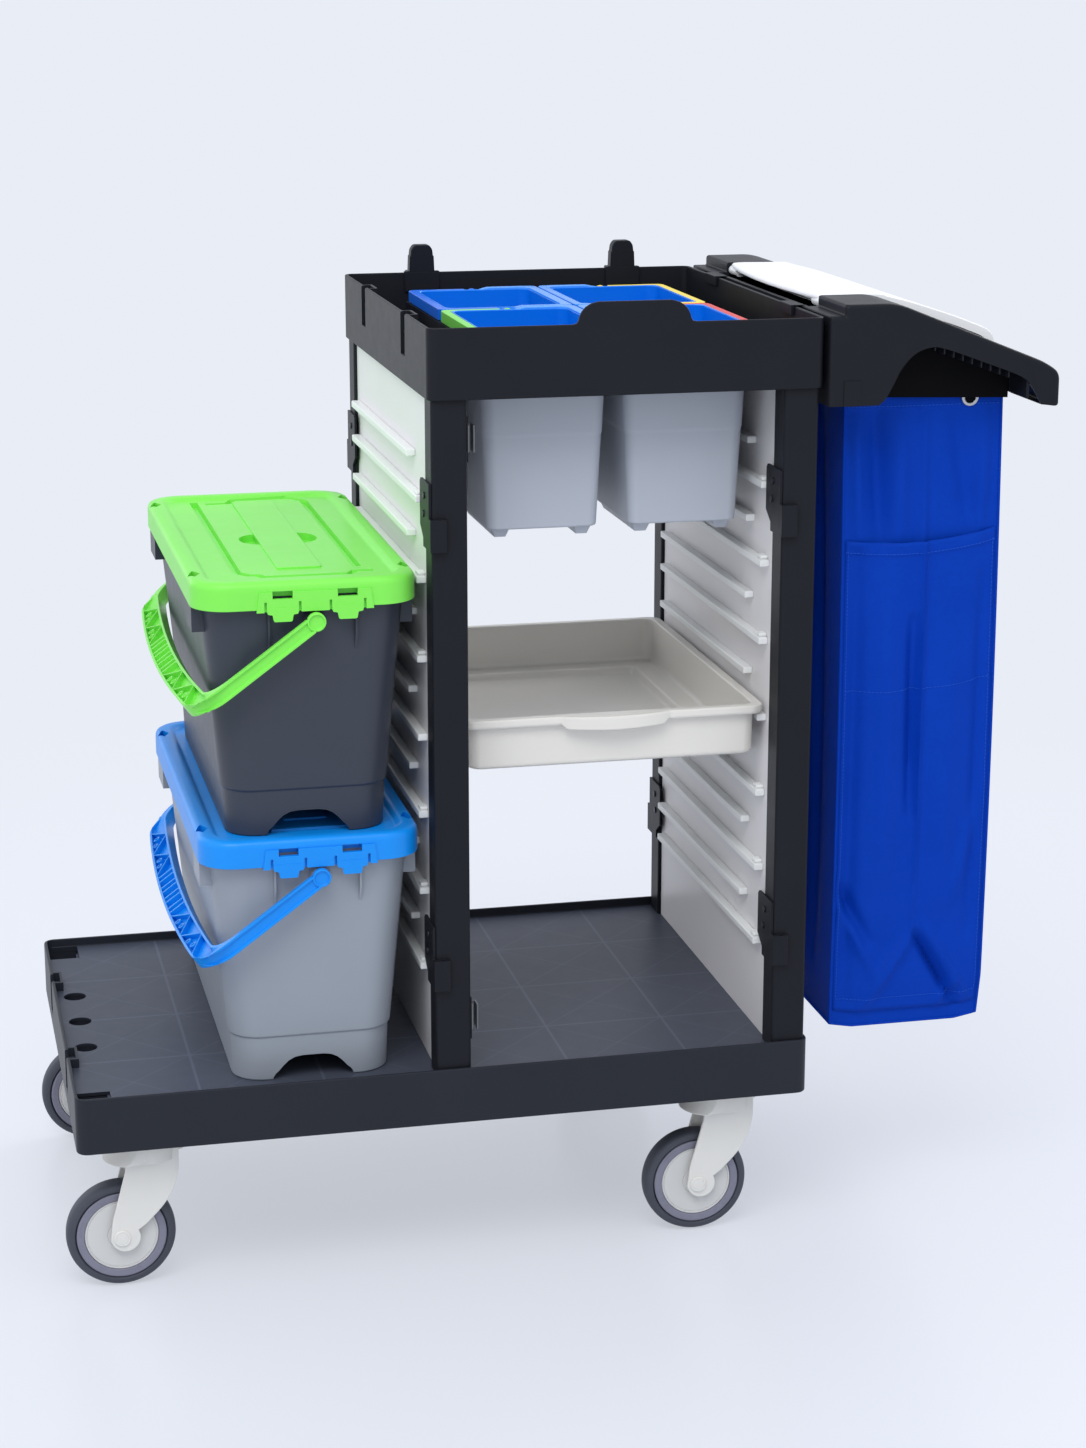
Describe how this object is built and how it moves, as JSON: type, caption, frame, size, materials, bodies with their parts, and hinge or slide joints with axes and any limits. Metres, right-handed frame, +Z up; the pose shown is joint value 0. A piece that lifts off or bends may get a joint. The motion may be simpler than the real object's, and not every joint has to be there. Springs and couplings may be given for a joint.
{
  "type": "janitor cart",
  "caption": "Wheeled cleaning cart: a low base with stacked lidded mop buckets, a runner tower with a drawer and a top tray of small bins, and a lidded bag holder.",
  "frame": {"origin": "the middle of the cart's bounding box, on the floor", "axes": "+X from the bucket end to the bag end, +Y from the front to the back, +Z up from the floor"},
  "size_m": [1.1404, 0.591, 1.125],
  "materials": {
    "black_plastic": "fine matt grain",
    "pale_plastic": "smooth satin",
    "runner_plastic": "smooth satin",
    "fork_plastic": "smooth satin",
    "zinc_steel": "zinc plated",
    "dark_steel": "blackened",
    "hub_plastic": "smooth satin",
    "tyre_rubber": "matt",
    "drawer_plastic": "satin",
    "lower_bucket_grey": "satin",
    "upper_bucket_dark": "satin",
    "blue_plastic": "satin",
    "green_plastic": "satin",
    "bin_grey": "satin",
    "liner_blue": "satin",
    "bail_green": "satin",
    "bail_red": "satin",
    "bail_blue": "satin",
    "bail_yellow": "satin",
    "lid_white": "satin",
    "bag_cloth": "coated woven cloth"
  },
  "bodies": {
    "cart_frame": {"base_tray": "black_plastic", "caster_plates": "zinc_steel", "caster_bolts": "zinc_steel", "post_front_left": "black_plastic", "post_front_right": "black_plastic", "post_rear_left": "black_plastic", "post_rear_right": "black_plastic", "left_panel": "pale_plastic", "left_runners": "runner_plastic", "right_panel": "pale_plastic", "right_runners": "runner_plastic", "top_tray": "black_plastic", "door_brackets": "black_plastic", "bracket_screws": "dark_steel", "door_catches": "fork_plastic", "tool_clips": "black_plastic", "bag_rail": "black_plastic", "bag_arm_front": "black_plastic", "bag_arm_rear": "black_plastic", "bag_hanger": "black_plastic", "lid_hinge_rod": "zinc_steel", "waste_bag": "bag_cloth", "bag_eyelets": "zinc_steel"},
    "swivel_front_left": {"fork_front_left": "fork_plastic", "axle_front_left": "zinc_steel"},
    "wheel_front_left": {"hub_front_left": "hub_plastic", "tyre_front_left": "tyre_rubber"},
    "swivel_front_right": {"fork_front_right": "fork_plastic", "axle_front_right": "zinc_steel"},
    "wheel_front_right": {"hub_front_right": "hub_plastic", "tyre_front_right": "tyre_rubber"},
    "swivel_rear_left": {"fork_rear_left": "fork_plastic", "axle_rear_left": "zinc_steel"},
    "wheel_rear_left": {"hub_rear_left": "hub_plastic", "tyre_rear_left": "tyre_rubber"},
    "swivel_rear_right": {"fork_rear_right": "fork_plastic", "axle_rear_right": "zinc_steel"},
    "wheel_rear_right": {"hub_rear_right": "hub_plastic", "tyre_rear_right": "tyre_rubber"},
    "drawer": {"drawer": "drawer_plastic"},
    "bag_lid": {"bag_lid": "lid_white"},
    "lower_bucket": {"lower_bucket": "lower_bucket_grey"},
    "lower_lid": {"lower_lid": "blue_plastic"},
    "lower_bail": {"lower_bail": "blue_plastic"},
    "upper_bucket": {"upper_bucket": "upper_bucket_dark"},
    "upper_lid": {"upper_lid": "green_plastic"},
    "upper_bail": {"upper_bail": "green_plastic"},
    "bin_front_left": {"bin_front_left": "bin_grey", "liner_front_left": "liner_blue"},
    "bin_bail_front_left": {"bin_bail_front_left": "bail_green"},
    "bin_front_right": {"bin_front_right": "bin_grey", "liner_front_right": "liner_blue"},
    "bin_bail_front_right": {"bin_bail_front_right": "bail_red"},
    "bin_rear_left": {"bin_rear_left": "bin_grey", "liner_rear_left": "liner_blue"},
    "bin_bail_rear_left": {"bin_bail_rear_left": "bail_blue"},
    "bin_rear_right": {"bin_rear_right": "bin_grey", "liner_rear_right": "liner_blue"},
    "bin_bail_rear_right": {"bin_bail_rear_right": "bail_yellow"}
  },
  "joints": [
    {"name": "swivel_front_left_turn", "type": "hinge", "parent": "cart_frame", "child": "swivel_front_left", "pos_m": [-0.47175, -0.2305, 0.177], "axis": [0, 0, 1], "continuous": true},
    {"name": "wheel_front_left_spin", "type": "hinge", "parent": "swivel_front_left", "child": "wheel_front_left", "pos_m": [-0.50775, -0.2305, 0.0625], "axis": [0, 1, 0], "continuous": true},
    {"name": "swivel_front_right_turn", "type": "hinge", "parent": "cart_frame", "child": "swivel_front_right", "pos_m": [0.20825, -0.2305, 0.177], "axis": [0, 0, 1], "continuous": true},
    {"name": "wheel_front_right_spin", "type": "hinge", "parent": "swivel_front_right", "child": "wheel_front_right", "pos_m": [0.17225, -0.2305, 0.0625], "axis": [0, 1, 0], "continuous": true},
    {"name": "swivel_rear_left_turn", "type": "hinge", "parent": "cart_frame", "child": "swivel_rear_left", "pos_m": [-0.47175, 0.2095, 0.177], "axis": [0, 0, 1], "continuous": true},
    {"name": "wheel_rear_left_spin", "type": "hinge", "parent": "swivel_rear_left", "child": "wheel_rear_left", "pos_m": [-0.50775, 0.2095, 0.0625], "axis": [0, 1, 0], "continuous": true},
    {"name": "swivel_rear_right_turn", "type": "hinge", "parent": "cart_frame", "child": "swivel_rear_right", "pos_m": [0.20825, 0.2095, 0.177], "axis": [0, 0, 1], "continuous": true},
    {"name": "wheel_rear_right_spin", "type": "hinge", "parent": "swivel_rear_right", "child": "wheel_rear_right", "pos_m": [0.17225, 0.2095, 0.0625], "axis": [0, 1, 0], "continuous": true},
    {"name": "drawer_slide", "type": "slide", "parent": "cart_frame", "child": "drawer", "axis": [0, -1, 0], "range_m": [0, 0.36]},
    {"name": "bag_lid_hinge", "type": "hinge", "parent": "cart_frame", "child": "bag_lid", "pos_m": [0.32325, -0.0105, 1.095], "axis": [0, -1, 0], "range_deg": [0, 100]},
    {"name": "lower_bucket_lift", "type": "slide", "parent": "cart_frame", "child": "lower_bucket", "axis": [0, 0, 1], "range_m": [0, 0.3]},
    {"name": "lower_lid_lift", "type": "slide", "parent": "lower_bucket", "child": "lower_lid", "axis": [0, 0, 1], "range_m": [0, 0.06]},
    {"name": "lower_bail_swing", "type": "hinge", "parent": "lower_bucket", "child": "lower_bail", "pos_m": [-0.27625, -0.0105, 0.488], "axis": [0, 1, 0], "range_deg": [0, 60]},
    {"name": "upper_bucket_lift", "type": "slide", "parent": "lower_lid", "child": "upper_bucket", "axis": [0, 0, 1], "range_m": [0, 0.2]},
    {"name": "upper_lid_lift", "type": "slide", "parent": "upper_bucket", "child": "upper_lid", "axis": [0, 0, 1], "range_m": [0, 0.25]},
    {"name": "upper_bail_swing", "type": "hinge", "parent": "upper_bucket", "child": "upper_bail", "pos_m": [-0.27625, -0.0105, 0.778], "axis": [0, 1, 0], "range_deg": [0, 126]},
    {"name": "bin_front_left_lift", "type": "slide", "parent": "cart_frame", "child": "bin_front_left", "axis": [0, 0, 1], "range_m": [0, 0.24]},
    {"name": "bin_bail_front_left_swing", "type": "hinge", "parent": "bin_front_left", "child": "bin_bail_front_left", "pos_m": [-0.00475, -0.1145, 1.07], "axis": [0, 1, 0], "range_deg": [0, 90]},
    {"name": "bin_front_right_lift", "type": "slide", "parent": "cart_frame", "child": "bin_front_right", "axis": [0, 0, 1], "range_m": [0, 0.24]},
    {"name": "bin_bail_front_right_swing", "type": "hinge", "parent": "bin_front_right", "child": "bin_bail_front_right", "pos_m": [0.15825, -0.1145, 1.07], "axis": [0, -1, 0], "range_deg": [0, 90]},
    {"name": "bin_rear_left_lift", "type": "slide", "parent": "cart_frame", "child": "bin_rear_left", "axis": [0, 0, 1], "range_m": [0, 0.24]},
    {"name": "bin_bail_rear_left_swing", "type": "hinge", "parent": "bin_rear_left", "child": "bin_bail_rear_left", "pos_m": [-0.00475, 0.0935, 1.07], "axis": [0, 1, 0], "range_deg": [0, 90]},
    {"name": "bin_rear_right_lift", "type": "slide", "parent": "cart_frame", "child": "bin_rear_right", "axis": [0, 0, 1], "range_m": [0, 0.24]},
    {"name": "bin_bail_rear_right_swing", "type": "hinge", "parent": "bin_rear_right", "child": "bin_bail_rear_right", "pos_m": [0.15825, 0.0935, 1.07], "axis": [0, -1, 0], "range_deg": [0, 90]}
  ]
}
